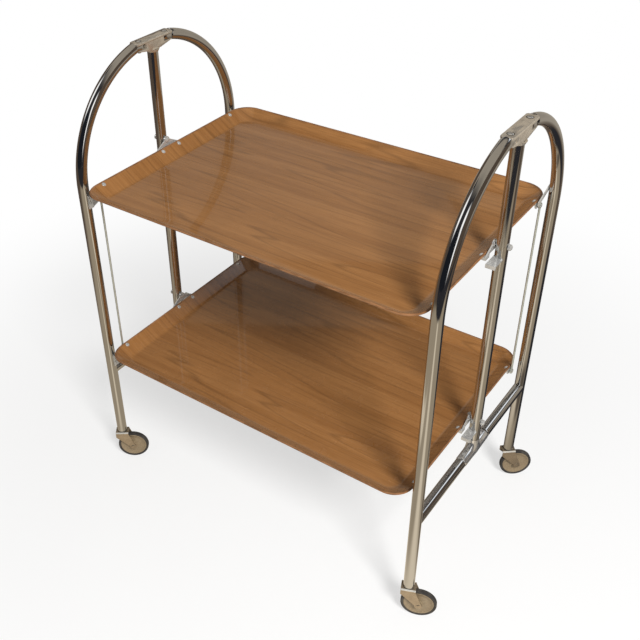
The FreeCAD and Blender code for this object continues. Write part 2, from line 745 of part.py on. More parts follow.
def tyre(name):
    """A soft tyre with rounded shoulders."""
    seat = f"({DISC_RADIUS} + 0.02)"
    shoulder = "(tyre_depth * 0.45)"
    half = "(wheel_width / 2)"
    inner = f"({WHEEL_RADIUS} - {shoulder})"
    flat = f"({half} - {shoulder})"
    points = (
        (seat, f"-{half}"), (inner, f"-{half}"), (WHEEL_RADIUS, f"-{flat}"),
        (WHEEL_RADIUS, flat), (inner, half), (seat, half),
    )
    return turned(name, points, {1: ((inner, f"-{flat}"), shoulder), 3: ((inner, flat), shoulder)})


def axle(name):
    """A riveted axle through both cheeks of the fork."""
    radius = "(axle_diameter / 2)"
    head = f"({radius} + 2)"
    seat = f"({FORK_GAP} / 2 + fork_sheet)"
    tip = f"({seat} + 1.5)"
    return turned(name, (
        ("0", f"-{tip}"), (f"{head} - 0.8", f"-{tip}"), (head, f"-{seat}"), (radius, f"-{seat}"),
        (radius, seat), (head, seat), (f"{head} - 0.8", tip), ("0", tip),
    ))


def castor(corner, end, side):
    """A swivel castor under one leg, turned as it stands in the picture."""
    turn = f"{corner}_turn"
    x = f"{end} * {FRAME_X}"
    y = f"{side} * {LEG_Y}"
    wheel_x = f"{x} + castor_trail * cos({turn})"
    wheel_y = f"{y} + castor_trail * sin({turn})"
    plate_foot = f"({FORK_TOP} - fork_sheet)"
    keep(place(fork(f"{corner}_castor_fork"), x, y, "0", Z_AXIS, turn), f"{corner}_castor_fork")
    stem = fuse(
        cylinder("stem_diameter / 2", f"{LEG_FOOT} + socket_length - {plate_foot}", z=f"{plate_foot} - 1"),
        cylinder("stem_diameter / 2 + 2.5", "stem_head", z=f"{plate_foot} - stem_head"),
    )
    keep(place(stem, x, y), f"{corner}_castor_stem")
    for word, maker in (("axle", axle), ("wheel", castor_wheel), ("tyre", tyre)):
        name = f"{corner}_castor_{word}"
        keep(place(maker(name), wheel_x, wheel_y, WHEEL_RADIUS, Z_AXIS, turn), name)


def leg_socket(end, side):
    """The bush in the foot of a leg that the castor stem turns in."""
    bush = cylinder(f"{BORE_RADIUS} - 0.02", "socket_length")
    bore = cylinder("stem_diameter / 2 + running_gap", "socket_length + 2", z="-1")
    return place(cut(bush, bore), f"{end} * {FRAME_X}", f"{side} * {LEG_Y}", LEG_FOOT)


def end_frames():
    """Posts, castings, legs and cross tubes of both ends."""
    for word, end in ENDS:
        post(f"{word}_post", end)
        hinge_casting(f"{word}_top_bridge", end, LUG_HEIGHT, False)
        hinge_casting(f"{word}_bottom_yoke", end, CROSS_HEIGHT, True)
        for side_word, side in SIDES:
            leg_tube(f"{word}_{side_word}_leg_tube", end, side)
            cross_tube(f"{word}_{side_word}_cross_tube", end, side)
    hinge_pins("top_hinge_pins", LUG_HEIGHT, False)
    hinge_pins("bottom_hinge_pins", CROSS_HEIGHT, True)
    sockets = [leg_socket(end, side) for word, end in ENDS for side_word, side in SIDES]
    keep(group(sockets), "leg_sockets", len(sockets))


def check_and_write():
    """Refuse a faulty document, then write one file for each piece."""
    doc.recompute()
    for item in doc.Objects:
        if "Invalid" in item.State or "Error" in item.State:
            raise RuntimeError(f"{item.Name} ({item.Label}) did not compute: {item.State}")
    os.makedirs("parts", exist_ok=True)
    for name, (item, solids) in nodes.items():
        shape = item.Shape
        if shape.isNull() or not shape.isValid():
            raise RuntimeError(f"{name} has no sound shape")
        if len(shape.Solids) != solids:
            raise RuntimeError(f"{name} holds {len(shape.Solids)} solids, not {solids}")
        shape.exportStep(f"parts/{name}.step")


end_frames()
pivot_fixings()
tray_rests()
corner_keeper()
post_catches()
for tray_name, rim_height in TRAYS:
    tray_set(tray_name, rim_height)
link_rod("left_link_rod", -1, -1)
link_rod("right_link_rod", 1, 1)
for end_word, end_sign in ENDS:
    for side_name, side_sign in SIDES:
        castor(f"{end_word}_{side_name}", end_sign, side_sign)
check_and_write()
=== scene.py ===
"""Folding tea trolley: laminate trays, chromed end frames, fittings, castors and studio."""
import math

import bmesh
import bpy
from mathutils import Euler, Matrix, Vector


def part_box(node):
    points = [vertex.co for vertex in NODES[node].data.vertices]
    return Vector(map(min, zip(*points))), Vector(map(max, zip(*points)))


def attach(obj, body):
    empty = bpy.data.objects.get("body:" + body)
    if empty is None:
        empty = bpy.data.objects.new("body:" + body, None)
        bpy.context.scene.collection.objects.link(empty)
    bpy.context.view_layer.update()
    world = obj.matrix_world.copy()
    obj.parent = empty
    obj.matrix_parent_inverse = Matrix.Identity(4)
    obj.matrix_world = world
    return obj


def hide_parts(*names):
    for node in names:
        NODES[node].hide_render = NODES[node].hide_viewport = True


bl_info = {
    "name": "Folding Tea Trolley",
    "version": (1, 0, 0),
    "blender": (4, 5, 0),
    "location": "View3D > Sidebar > Trolley",
    "description": "Dresses the packed solids of a folding tea trolley",
    "category": "Object",
}

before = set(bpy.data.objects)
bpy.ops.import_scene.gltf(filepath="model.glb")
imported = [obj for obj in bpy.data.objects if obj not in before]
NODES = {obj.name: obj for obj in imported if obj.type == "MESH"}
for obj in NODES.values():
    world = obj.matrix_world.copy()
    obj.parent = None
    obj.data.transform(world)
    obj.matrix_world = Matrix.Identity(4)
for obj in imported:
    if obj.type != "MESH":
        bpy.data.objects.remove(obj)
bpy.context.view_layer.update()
ENDS = ("left", "right")
SIDES = {"near": -1, "far": 1}
TRAYS = ("upper", "lower")
QUARTERS = ((1, 1), (-1, 1), (-1, -1), (1, -1))
SQUARE = ((-1, -1), (1, -1), (1, 1), (-1, 1))
UP = Vector((0, 0, 1))
CLEARANCE = 0.0002


def node_size(node):
    """Width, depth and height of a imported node."""
    low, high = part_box(node)
    return Vector(high) - Vector(low)


def middle(node):
    """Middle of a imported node's box."""
    low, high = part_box(node)
    return (Vector(low) + Vector(high)) / 2


class TraySettings(bpy.types.PropertyGroup):
    """Shape and colours of the two laminate trays."""

    length: bpy.props.FloatProperty(
        name="Length", description="Length over the rims", unit="LENGTH",
        default=node_size("upper_tray").x)
    width: bpy.props.FloatProperty(
        name="Width", description="Width over the rims", unit="LENGTH",
        default=node_size("upper_tray").y)
    corner: bpy.props.FloatProperty(
        name="Corner", description="Corner radius at the rim", unit="LENGTH", default=0.035)
    floor_corner: bpy.props.FloatProperty(
        name="Floor corner", description="Corner radius of the flat floor", unit="LENGTH", default=0.018)
    sheet: bpy.props.FloatProperty(
        name="Sheet", description="Thickness of the pressed sheet", unit="LENGTH", default=0.003)
    bend: bpy.props.FloatProperty(
        name="Bend", description="Inside radius between floor and rim", unit="LENGTH", default=0.01)
    rim_angle: bpy.props.FloatProperty(
        name="Rim angle", description="Slope of the rim", subtype="ANGLE", default=math.radians(36))
    light_wood: bpy.props.FloatVectorProperty(
        name="Light wood", description="Lighter tone of the printed grain", subtype="COLOR",
        default=(0.350, 0.161, 0.053))
    dark_wood: bpy.props.FloatVectorProperty(
        name="Dark wood", description="Darker tone of the printed grain", subtype="COLOR",
        default=(0.262, 0.112, 0.033))
    edge: bpy.props.FloatVectorProperty(
        name="Edge", description="Cut edge of the sheet", subtype="COLOR", default=(0.16, 0.075, 0.032))
    backing: bpy.props.FloatVectorProperty(
        name="Backing", description="Plain sheet under the trays", subtype="COLOR",
        default=(0.33, 0.305, 0.28))


class MetalSettings(bpy.types.PropertyGroup):
    """Tube sizes and metal colours."""

    tube_radius: bpy.props.FloatProperty(
        name="Tube radius", description="Outside radius of the tube", unit="LENGTH",
        default=node_size("left_post").x / 2)
    tube_wall: bpy.props.FloatProperty(
        name="Tube wall", description="Wall thickness of the tube", unit="LENGTH", default=0.0012)
    lug_width: bpy.props.FloatProperty(
        name="Lug width", description="Width of a hinge lug", unit="LENGTH", default=0.015)
    lug_thickness: bpy.props.FloatProperty(
        name="Lug thickness", description="Thickness of a hinge lug", unit="LENGTH", default=0.008)
    jaw: bpy.props.FloatProperty(
        name="Jaw", description="Thickness of a casting over its hinge slot", unit="LENGTH", default=0.0046)
    casting_reach: bpy.props.FloatProperty(
        name="Casting reach", description="From a hinge pin to the end of the casting", unit="LENGTH",
        default=0.012)
    casting_depth: bpy.props.FloatProperty(
        name="Casting depth", description="From the hinge lugs to the end of the post", unit="LENGTH",
        default=0.011)
    hinge_offset: bpy.props.FloatProperty(
        name="Hinge offset", description="From the post to a hinge pin", unit="LENGTH", default=0.03)
    tube_end: bpy.props.FloatProperty(
        name="Tube end", description="From a hinge pin to the end of its tube", unit="LENGTH",
        default=0.0124)
    arch_spring: bpy.props.FloatProperty(
        name="Arch spring", description="Height at which the legs begin to bend", unit="LENGTH",
        default=0.5865)
    chrome: bpy.props.FloatVectorProperty(
        name="Chrome", description="Plating of the tubes", subtype="COLOR", default=(0.60, 0.595, 0.58))
    casting: bpy.props.FloatVectorProperty(
        name="Casting", description="Plating of the hinge castings", subtype="COLOR",
        default=(0.66, 0.585, 0.48))
    yoke: bpy.props.FloatVectorProperty(
        name="Yoke", description="Plating of the lower castings", subtype="COLOR", default=(0.80, 0.80, 0.79))
    # Painted shade: the dark rings round the top pins stand in for the shade in the recesses round their
    # heads.
    pin_ring_shade: bpy.props.FloatVectorProperty(
        name="Pin shade", description="Painted shade round the pins of the top castings", subtype="COLOR",
        default=(0.05, 0.045, 0.035))
    plate: bpy.props.FloatVectorProperty(
        name="Plate", description="Plating of the brackets", subtype="COLOR", default=(0.74, 0.735, 0.71))
    rod: bpy.props.FloatVectorProperty(
        name="Rod", description="Plating of the link rods", subtype="COLOR", default=(0.60, 0.62, 0.55))


class CastorSettings(bpy.types.PropertyGroup):
    """Sizes and colours of the castors."""

    fork_sheet: bpy.props.FloatProperty(
        name="Fork sheet", description="Thickness of a fork's sheet", unit="LENGTH", default=0.002)
    fork_plate: bpy.props.FloatProperty(
        name="Fork plate", description="Length of a fork's top plate", unit="LENGTH", default=0.024)
    fork_width: bpy.props.FloatProperty(
        name="Fork width", description="Width over a fork's cheeks", unit="LENGTH", default=0.02)
    fork_fold: bpy.props.FloatProperty(
        name="Fork fold", description="Outside radius of a fork's folds", unit="LENGTH", default=0.003)
    collar: bpy.props.FloatProperty(
        name="Collar", description="Height of the dark collar under a leg", unit="LENGTH", default=0.0026)
    metal: bpy.props.FloatVectorProperty(
        name="Fork", description="Plating of forks and axles", subtype="COLOR", default=(0.42, 0.335, 0.235))
    # Painted highlight: a near-white tint on the folds of each fork, where light would glint on the rounded
    # edge.
    fold_highlight: bpy.props.FloatVectorProperty(
        name="Fold highlight", description="Painted highlight along the folds of a fork", subtype="COLOR",
        default=(0.92, 0.89, 0.81))
    disc: bpy.props.FloatVectorProperty(
        name="Disc", description="Enamel of the wheel discs", subtype="COLOR", default=(0.255, 0.19, 0.115))
    tyre: bpy.props.FloatVectorProperty(
        name="Tyre", description="Rubber of the tyres", subtype="COLOR", default=(0.035, 0.032, 0.030))
    bush: bpy.props.FloatVectorProperty(
        name="Bush", description="Moulding of the dark collars", subtype="COLOR", default=(0.03, 0.03, 0.03))


class StageSettings(bpy.types.PropertyGroup):
    """Floor, lamps and camera."""

    floor: bpy.props.FloatVectorProperty(
        name="Floor", description="Colour of the floor", subtype="COLOR", default=(0.9, 0.895, 0.885))
    glow: bpy.props.FloatProperty(
        name="Glow", description="Share of plain white in the floor under the trolley", default=0.6)
    sand: bpy.props.FloatVectorProperty(
        name="Sand", description="Brightest ground that the legs mirror", subtype="COLOR",
        default=(0.92, 0.795, 0.615))
    tan: bpy.props.FloatVectorProperty(
        name="Tan", description="Ground that the sides of the legs mirror", subtype="COLOR",
        default=(0.44, 0.365, 0.265))
    stone: bpy.props.FloatVectorProperty(
        name="Stone", description="Ceiling and wall that the tops of the arches mirror", subtype="COLOR",
        default=(0.43, 0.38, 0.315))
    umber: bpy.props.FloatVectorProperty(
        name="Umber", description="Ground and walls that the sides of the tubes mirror", subtype="COLOR",
        default=(0.12, 0.089, 0.067))
    slate: bpy.props.FloatVectorProperty(
        name="Slate", description="Ceiling that the leaning tubes mirror", subtype="COLOR",
        default=(0.034, 0.033, 0.038))
    ambient: bpy.props.FloatProperty(
        name="Ambient", description="Strength of the even light all round", default=0.28)
    key_power: bpy.props.FloatProperty(
        name="Key", description="Power of the key lamp", unit="POWER", default=122.0)
    fill_power: bpy.props.FloatProperty(
        name="Fill", description="Power of the fill lamp", unit="POWER", default=2.0)
    camera_place: bpy.props.FloatVectorProperty(
        name="Camera", description="Where the camera stands", subtype="TRANSLATION", unit="LENGTH",
        default=(0.68767, -1.02669, 1.25301))
    camera_turn: bpy.props.FloatVectorProperty(
        name="Camera turn", description="How the camera is turned", subtype="EULER",
        default=(math.radians(54.1109), math.radians(1.3725), math.radians(36.2701)))
    lens: bpy.props.FloatProperty(
        name="Lens", description="Focal length in millimetres", default=50.443)
    shift: bpy.props.FloatVectorProperty(
        name="Shift", description="Lens shift of the photograph's framing", size=2,
        default=(0.0804, -0.0104))


class Finish:
    """A procedural surface, built node by node around one Principled shader."""

    def __init__(self, name, **sockets):
        self.material = bpy.data.materials.new(name)
        self.material.use_nodes = True
        self.tree = self.material.node_tree
        self.surface = self.tree.nodes["Principled BSDF"]
        self.shade(**sockets)

    def add(self, kind, inputs, **settings):
        """A node with its settings and inputs."""
        node = self.tree.nodes.new(kind)
        for attribute, setting in settings.items():
            setattr(node, attribute, setting)
        for socket, source in inputs.items():
            self.feed(node.inputs[socket], source)
        return node

    def feed(self, socket, source):
        """Link a socket to a result, or give it a plain value."""
        if isinstance(source, bpy.types.NodeSocket):
            self.tree.links.new(source, socket)
        else:
            socket.default_value = source

    def shade(self, **sockets):
        """Feed sockets of the shader, named in small letters."""
        for socket, source in sockets.items():
            title = socket.replace("_", " ").title().replace("Ior", "IOR")
            self.feed(self.surface.inputs[title], source)
        return self.material

    def surface_from(self, shader):
        """Show another shader in place of the first one."""
        self.tree.links.new(shader, self.tree.nodes["Material Output"].inputs["Surface"])
        return self.material

    def spot(self):
        """Object coordinates."""
        return self.add("ShaderNodeTexCoord", {}).outputs["Object"]

    def place(self, scale, shift=None):
        """Object coordinates stretched by scale."""
        spot = self.spot()
        if shift is not None:
            spot = self.add("ShaderNodeVectorMath", {0: spot, 1: shift}, operation="ADD").outputs[0]
        return self.add("ShaderNodeMapping", {"Vector": spot, "Scale": scale}).outputs[0]

    def length(self, vector):
        """How far a place is from its origin."""
        return self.add("ShaderNodeVectorMath", {0: vector}, operation="LENGTH").outputs["Value"]

    def along_y(self, vector):
        """The Y part of a place."""
        return self.add("ShaderNodeSeparateXYZ", {"Vector": vector}).outputs["Y"]

    def noise(self, vector, detail, roughness=0.5):
        """Noise over places that are stretched already."""
        return self.add("ShaderNodeTexNoise", {
            "Vector": vector, "Scale": 1.0, "Detail": detail, "Roughness": roughness}).outputs["Fac"]

    def cloud(self, scale, detail=3.0):
        """Noise of one scale in all directions."""
        return self.noise(self.place((scale, scale, scale)), detail)

    def span(self, value, low, high, to_low, to_high):
        """Carry a value from one range to another, clamped."""
        return self.add("ShaderNodeMapRange", {
            0: value, 1: low, 2: high, 3: to_low, 4: to_high}, interpolation_type="SMOOTHSTEP").outputs[0]

    def math(self, operation, first, second):
        """One sum on two values."""
        return self.add("ShaderNodeMath", {0: first, 1: second}, operation=operation).outputs[0]

    def mix(self, factor, first, second, blend="MIX"):
        """Two colours mixed by a factor."""
        node = self.add("ShaderNodeMix", {}, data_type="RGBA", blend_type=blend)
        for index, source in ((0, factor), (6, first), (7, second)):
            if index > 0 and not isinstance(source, bpy.types.NodeSocket):
                source = (*source[:3], 1.0)
            self.feed(node.inputs[index], source)
        return node.outputs[2]

    def grey(self, value):
        """A value as a grey colour."""
        return self.add("ShaderNodeCombineColor", {0: value, 1: value, 2: value}).outputs[0]

    def glow(self, colour):
        """Show a colour just as it is, whatever lamp is near."""
        self.material.cycles.emission_sampling = "NONE"
        return self.surface_from(self.add("ShaderNodeEmission", {"Color": colour}).outputs[0])

    def bump(self, height, strength, distance):
        """Normals that follow a height."""
        return self.add("ShaderNodeBump", {
            "Height": height, "Strength": strength, "Distance": distance}).outputs[0]


def wood_laminate():
    """Glossy printed wood grain, straight along the tray, with darker streaks and fine pores."""
    tray = bpy.context.scene.trolley_tray
    finish = Finish("tray_wood_laminate", specular_ior_level=0.3, coat_weight=0.6, coat_roughness=0.04)
    sway = finish.noise(finish.place((1.6, 5.0, 0.0)), detail=1.0)
    lift = finish.math("MULTIPLY", finish.math("SUBTRACT", sway, 0.5), 0.016)
    bent = finish.add("ShaderNodeCombineXYZ", {"Y": lift}).outputs[0]
    bands = finish.noise(finish.place((0.9, 24.0, 0.0), bent), detail=2.0)
    streaks = finish.noise(finish.place((1.8, 105.0, 0.0), bent), detail=5.0, roughness=0.62)
    rings = finish.noise(finish.place((0.8, 15.0, 0.0), bent), detail=1.5, roughness=0.4)
    fibres = finish.noise(finish.place((17.0, 780.0, 0.0), bent), detail=2.0)
    pores = finish.noise(finish.place((34.0, 1300.0, 0.0), bent), detail=1.0)
    tone = finish.math("ADD", finish.math("MULTIPLY", bands, 0.5), finish.math("MULTIPLY", streaks, 0.5))
    colour = finish.mix(finish.span(tone, 0.34, 0.66, 0.0, 1.0), tray.dark_wood, tray.light_wood)
    ring_line = finish.math("PINGPONG", finish.math("MULTIPLY", rings, 14.0), 0.5)
    for value, low, high, to_low, to_high in (
            (ring_line, 0.0, 0.12, 0.78, 1.0),
            (fibres, 0.34, 0.66, 0.90, 1.06),
            (pores, 0.60, 0.70, 1.0, 0.80)):
        shade = finish.grey(finish.span(value, low, high, to_low, to_high))
        colour = finish.mix(1.0, colour, shade, "MULTIPLY")
    polish = finish.span(finish.cloud(30.0), 0.3, 0.7, 0.2, 0.3)
    swell = finish.noise(finish.place((9.0, 14.0, 0.0)), detail=1.0)
    return finish.shade(base_color=colour, roughness=polish, normal=finish.bump(swell, 0.12, 0.004))


def sheet_edge():
    """Dark resin-bonded edge of the pressed sheet."""
    edge = bpy.context.scene.trolley_tray.edge
    finish = Finish("tray_cut_edge", roughness=0.45)
    layers = finish.noise(finish.place((60.0, 60.0, 1400.0)), detail=2.0)
    colour = finish.mix(finish.span(layers, 0.35, 0.65, 0.0, 1.0), edge, [tone * 1.9 for tone in edge])
    return finish.shade(base_color=colour, normal=finish.bump(layers, 0.2, 0.0004))


def backing_sheet():
    """Plain grey backing under the trays, faintly clouded."""
    tone = bpy.context.scene.trolley_tray.backing
    finish = Finish("tray_backing", roughness=0.5)
    cloud = finish.noise(finish.place((25.0, 180.0, 180.0)), detail=4.0)
    colour = finish.mix(finish.span(cloud, 0.3, 0.7, 0.0, 1.0), tone, [part * 0.86 for part in tone])
    return finish.shade(base_color=colour, normal=finish.bump(cloud, 0.1, 0.0005))


def chrome_plate(tint):
    """Bright plating with pin-point pitting and light smears."""
    finish = Finish("tube_chrome", metallic=1.0)
    specks = finish.cloud(900.0)
    patches = finish.noise(finish.place((26.0, 26.0, 9.0)), detail=3.0)
    pitted = finish.math("MULTIPLY", finish.span(specks, 0.60, 0.70, 0.0, 1.0),
                         finish.span(patches, 0.45, 0.7, 0.0, 1.0))
    dull = [tone * factor for tone, factor in zip(tint, (0.55, 0.50, 0.44))]
    colour = finish.mix(finish.math("MULTIPLY", pitted, 0.35), tint, dull)
    smear = finish.span(patches, 0.3, 0.75, 0.035, 0.12)
    smear = finish.math("ADD", smear, finish.math("MULTIPLY", pitted, 0.2))
    return finish.shade(base_color=colour, roughness=smear, normal=finish.bump(patches, 0.05, 0.002))


def dull_plate(name, tint, rough=(0.16, 0.28), metallic=0.6, grain=90.0):
    """Satin plating with soft blotches."""
    finish = Finish(name, metallic=metallic)
    blotch = finish.cloud(grain)
    dull = [tone * 0.8 for tone in tint]
    colour = finish.mix(finish.span(blotch, 0.35, 0.7, 0.0, 0.8), tint, dull)
    return finish.shade(base_color=colour, roughness=finish.span(blotch, 0.3, 0.7, *rough),
                        normal=finish.bump(blotch, 0.05, 0.0005))


def moulded(name, tint, rough=(0.42, 0.6), dust=(0.2, 0.17, 0.13), dusty=0.25):
    """Moulded or enamelled surface with a little dust in its texture."""
    finish = Finish(name)
    cloud = finish.cloud(90.0, detail=4.0)
    skin = finish.cloud(420.0)
    colour = finish.mix(finish.span(cloud, 0.42, 0.75, 0.0, dusty), tint, dust)
    colour = finish.mix(1.0, colour, finish.grey(finish.span(skin, 0.3, 0.7, 0.86, 1.1)), "MULTIPLY")
    return finish.shade(base_color=colour, roughness=finish.span(skin, 0.3, 0.7, *rough),
                        normal=finish.bump(skin, 0.1, 0.0006))


def smooth(mesh, angle=35):
    """Smooth shading that keeps the hard edges."""
    for polygon in mesh.polygons:
        polygon.use_smooth = True
    mesh.set_sharp_from_angle(angle=math.radians(angle))


def finish_piece(name, bm, materials, body, nodes, angle=35):
    """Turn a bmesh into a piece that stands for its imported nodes."""
    bmesh.ops.remove_doubles(bm, verts=bm.verts, dist=1e-6)
    bmesh.ops.recalc_face_normals(bm, faces=bm.faces)
    mesh = bpy.data.meshes.new(name)
    bm.to_mesh(mesh)
    bm.free()
    smooth(mesh, angle)
    for material in materials:
        mesh.materials.append(material)
    piece = bpy.data.objects.new(name, mesh)
    bpy.context.scene.collection.objects.link(piece)
    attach(piece, body)
    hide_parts(*nodes)


def dress(names, material):
    """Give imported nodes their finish."""
    for name in names:
        mesh = NODES[name].data
        mesh.materials.clear()
        mesh.materials.append(material)
        smooth(mesh)


def bridge(bm, rings, index=0):
    """Join equal rings of vertices with quads."""
    count = len(rings[0])
    for ring, following in zip(rings, rings[1:]):
        for step in range(count):
            other = (step + 1) % count
            face = bm.faces.new((ring[step], ring[other], following[other], following[step]))
            face.material_index = index


def axes(origin, across, up):
    """A place whose local X and Y run across and up."""
    across, up = Vector(across).normalized(), Vector(up).normalized()
    turn = Matrix((across, up, across.cross(up))).transposed().to_4x4()
    return Matrix.Translation(origin) @ turn


def lathe(bm, profile, place, segments=56, index=0):
    """Turn a closed profile of radius and height about the local Z axis."""
    turns = [2 * math.pi * step / segments for step in range(segments)]
    rings = []
    for radius, along in profile:
        points = [Vector((radius * math.cos(turn), radius * math.sin(turn), along)) for turn in turns]
        rings.append([bm.verts.new(place @ point) for point in points])
    bridge(bm, rings + rings[:1], index)


def prism(bm, outline, place, thickness, bevel, segments=2):
    """Thicken an outline evenly to both sides of the local XY plane and round its edges."""
    rings = []
    for height in (-thickness / 2, thickness / 2):
        rings.append([bm.verts.new(place @ Vector((x, y, height))) for x, y in outline])
    before = set(bm.faces)
    bridge(bm, rings)
    bm.faces.new(rings[0])
    bm.faces.new(rings[1])
    faces = [face for face in bm.faces if face not in before]
    bmesh.ops.recalc_face_normals(bm, faces=faces)
    edges = list({edge for face in faces for edge in face.edges})
    bmesh.ops.bevel(bm, geom=edges, offset=bevel, segments=segments, profile=0.5, affect="EDGES")


def arc_points(centre, radius, first, last, steps=8):
    """Points on an arc between two angles in degrees."""
    turns = (math.radians(first + (last - first) * step / steps) for step in range(steps + 1))
    return [(centre[0] + radius * math.cos(a), centre[1] + radius * math.sin(a)) for a in turns]


def rounded_rectangle(half_x, half_y, radius, steps):
    """Outline of a rectangle with round corners."""
    outline = []
    for quarter, (sign_x, sign_y) in enumerate(QUARTERS):
        corner = (sign_x * (half_x - radius), sign_y * (half_y - radius))
        outline += arc_points(corner, radius, 90 * quarter, 90 * quarter + 90, steps)
    return outline


def tray_ring(bm, tray, run, offset, height):
    """One rounded rectangle of the tray, offset outward from the floor's edge."""
    radius = tray.floor_corner + (tray.corner - tray.floor_corner) * offset / run
    half_x, half_y = tray.length / 2 - run + offset, tray.width / 2 - run + offset
    return [bm.verts.new((x, y, height)) for x, y in rounded_rectangle(half_x, half_y, radius, 16)]


def tray_mesh(tray, rim_top, depth):
    """Floor, bends, sloping rim and rounded cut edge of a tray."""
    sine, cosine = math.sin(tray.rim_angle), math.cos(tray.rim_angle)
    outer_bend = tray.bend + tray.sheet
    slope = (depth - tray.sheet - tray.bend * (1 - cosine)) / sine
    run = outer_bend * sine + slope * cosine
    bottom = rim_top - depth
    bend_steps = 7
    arc = [tray.rim_angle * step / bend_steps for step in range(bend_steps + 1)]
    inside = [(tray.bend * math.sin(a), bottom + tray.sheet + tray.bend * (1 - math.cos(a))) for a in arc]
    outside = [(outer_bend * math.sin(a), bottom + outer_bend * (1 - math.cos(a))) for a in arc]
    nose, inset = 0.0006, 0.008
    top = (run - tray.sheet * sine, rim_top)
    edge = (run, rim_top - tray.sheet * cosine)
    top_in = (top[0] - nose * cosine, top[1] - nose * sine)
    top_out = (top[0] + nose * sine, top[1] - nose * cosine)
    edge_in = (edge[0] - nose * sine, edge[1] + nose * cosine)
    edge_out = (edge[0] - nose * cosine, edge[1] - nose * sine)
    bm = bmesh.new()

    def rings(profile):
        return [tray_ring(bm, tray, run, offset, height) for offset, height in profile]

    def on_slope(share):
        return tuple(low + (high - low) * share for low, high in zip(inside[-1], top_in))

    floor = rings([(-inset, bottom + tray.sheet)] + inside + [on_slope(0.5), on_slope(0.92)])
    lip = rings([top_in, top_out, edge_in])
    under = rings([edge_out] + outside[::-1] + [(-inset, bottom)])
    bridge(bm, floor)
    bridge(bm, [floor[-1], *lip, under[0]], index=1)
    bridge(bm, under, index=2)
    bm.faces.new(floor[0])
    bm.faces.new(under[-1]).material_index = 2
    return bm


class TROLLEY_OT_trays(bpy.types.Operator):
    """Make the two laminate trays"""

    bl_idname = "trolley.trays"
    bl_label = "Trays"

    def execute(self, context):
        tray = context.scene.trolley_tray
        materials = (wood_laminate(), sheet_edge(), backing_sheet())
        for word in TRAYS:
            node = f"{word}_tray"
            low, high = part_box(node)
            bm = tray_mesh(tray, high[2], high[2] - low[2])
            finish_piece(f"{word}_tray_laminate", bm, materials, node, (node,))
        return {"FINISHED"}


def tube_ring(bm, centre, across, up):
    """A ring of vertices, round or oval."""
    segments = 40
    ring = []
    for step in range(segments):
        angle = 2 * math.pi * step / segments
        ring.append(bm.verts.new(centre + across * math.cos(angle) + up * math.sin(angle)))
    return ring


def tube(bm, metal, path):
    """A tube in the plane of its end frame, with rounded ends and a plug a little way inside each end."""
    path = [Vector(point) for point in path]
    across = Vector((1, 0, 0))
    radius, wall = metal.tube_radius, metal.tube_wall
    nose = wall * 0.4
    first_end = ((wall, wall), (0, wall), (0, nose), (nose, 0))
    last_end = [(-along, inset) for along, inset in reversed(first_end)]
    last = len(path) - 1
    rings = []
    for index, point in enumerate(path):
        tangent = (path[min(index + 1, last)] - path[max(index - 1, 0)]).normalized()
        up = tangent.cross(across).normalized()
        profile = {0: first_end, last: last_end}.get(index, ((0, 0),))
        for along, inset in profile:
            size = radius - inset
            rings.append(tube_ring(bm, point + tangent * along, across * size, up * size))
    bridge(bm, rings)
    bm.faces.new(rings[0])
    bm.faces.new(rings[-1])


def lug(bm, metal, pin, side):
    """A flat hinge lug with a round nose about its pin, running back into the tube."""
    half = metal.lug_width / 2
    reach = metal.tube_end + metal.lug_thickness
    outline = arc_points((0, 0), half, 180, 360, 12) + [(half, reach), (-half, reach)]
    prism(bm, outline, axes(pin, (side, 0, 0), (0, side, 0)), metal.lug_thickness, 0.0006)


class TROLLEY_OT_end_frames(bpy.types.Operator):
    """Make the bent legs, cross tubes and posts"""

    bl_idname = "trolley.end_frames"
    bl_label = "End frames"

    def execute(self, context):
        metal = context.scene.trolley_metal
        chrome = chrome_plate(metal.chrome)
        for end in ENDS:
            post = f"{end}_post"
            x = middle(post).x
            for side_word, side in SIDES.items():
                self.leg(metal, chrome, f"{end}_{side_word}_leg_tube", x, side)
                self.cross(metal, chrome, f"{end}_{side_word}_cross_tube", x, side)
            low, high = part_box(post)
            bm = bmesh.new()
            tube(bm, metal, [(x, 0, low[2]), (x, 0, high[2])])
            finish_piece(f"{post}_chrome", bm, (chrome,), "frame", (post,))
        return {"FINISHED"}

    def leg(self, metal, chrome, node, x, side):
        """A leg with a quarter of the arch and its hinge lug."""
        low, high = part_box(node)
        leg_y = max(abs(low[1]), abs(high[1])) - metal.tube_radius
        end_y = metal.hinge_offset + metal.tube_end
        sweep = math.acos(end_y / leg_y)
        foot = low[2] + bpy.context.scene.trolley_castor.collar
        leg_steps, arch_steps = 6, 48
        rise = (metal.arch_spring - foot) / leg_steps
        path = [(x, side * leg_y, foot + rise * step) for step in range(leg_steps)]
        for step in range(arch_steps + 1):
            angle = sweep * step / arch_steps
            path.append((x, side * leg_y * math.cos(angle), metal.arch_spring + leg_y * math.sin(angle)))
        path.append((x, side * (end_y - metal.tube_wall / 4), path[-1][2]))
        bm = bmesh.new()
        tube(bm, metal, path)
        lug(bm, metal, (x, side * metal.hinge_offset, path[-1][2]), side)
        finish_piece(f"{node}_chrome", bm, (chrome,), "frame", (node,))

    def cross(self, metal, chrome, node, x, side):
        """Half a cross tube, run into its leg, with its hinge lug."""
        low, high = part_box(node)
        height = (low[2] + high[2]) / 2
        far_y = max(abs(low[1]), abs(high[1]))
        near_y = metal.hinge_offset + metal.tube_end
        bm = bmesh.new()
        tube(bm, metal, [(x, side * near_y, height), (x, side * far_y, height)])
        lug(bm, metal, (x, side * metal.hinge_offset, height), side)
        finish_piece(f"{node}_chrome", bm, (chrome,), "frame", (node,))


